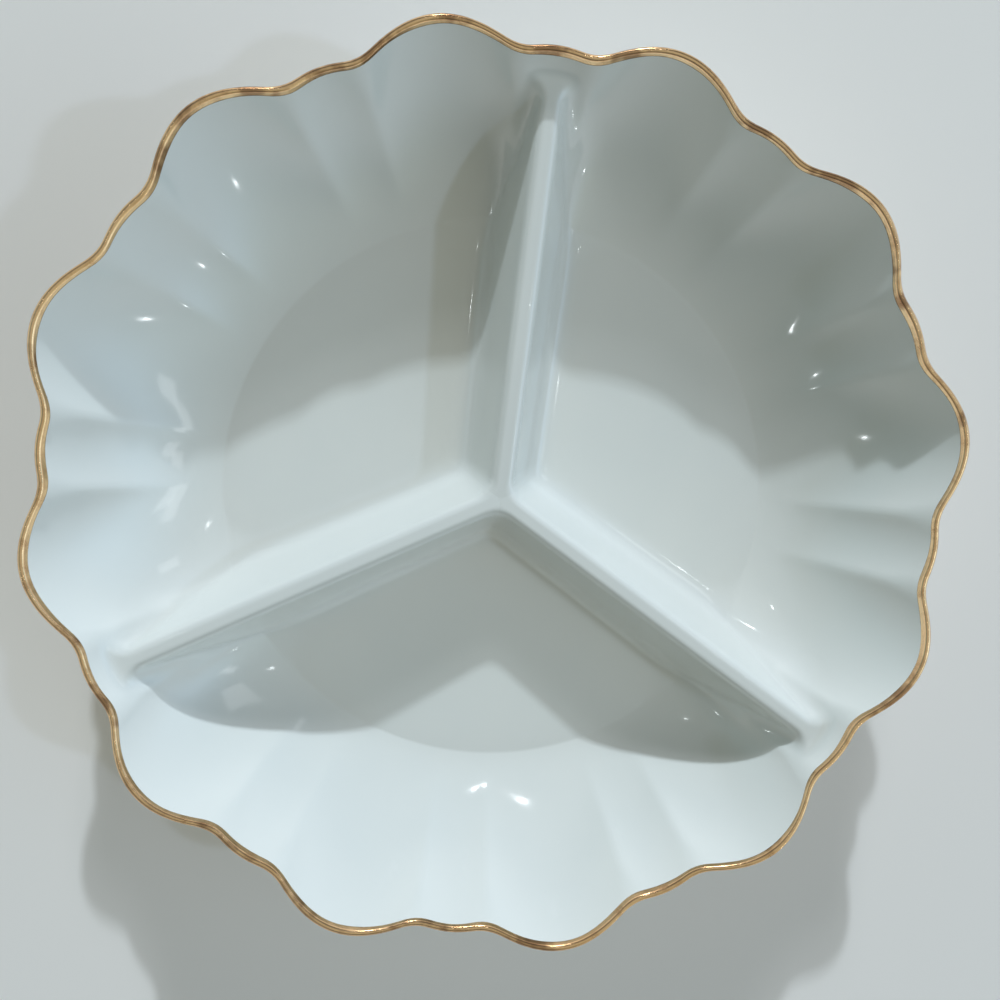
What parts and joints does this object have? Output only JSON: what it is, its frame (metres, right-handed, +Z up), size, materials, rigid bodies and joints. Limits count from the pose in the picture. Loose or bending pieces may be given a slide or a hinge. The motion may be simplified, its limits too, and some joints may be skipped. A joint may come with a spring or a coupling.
{
  "type": "divided serving bowl",
  "caption": "Low round glazed porcelain bowl with a fluted wall, a scalloped gilt rim, a foot ring and low dividers that meet at a hub and part it into equal compartments.",
  "frame": {"origin": "centre of the bowl on the plane that the foot ring stands on", "axes": "+Z up out of the bowl, +Y from the hub along the rear divider, +X to the right"},
  "size_m": [0.2618, 0.2572, 0.0462],
  "materials": {
    "glazed_porcelain": "clear glossy glaze over ivory white porcelain",
    "foot_porcelain": "glazed sides and a bare, ground standing edge",
    "gilding": "bright fired gold, slightly worn on the crest of the lip"
  },
  "bodies": {
    "root": {"bowl_shell": "glazed_porcelain", "divider_rear": "glazed_porcelain", "divider_right": "glazed_porcelain", "divider_left": "glazed_porcelain", "foot_ring": "foot_porcelain", "gilt_rim": "gilding"}
  },
  "joints": []
}
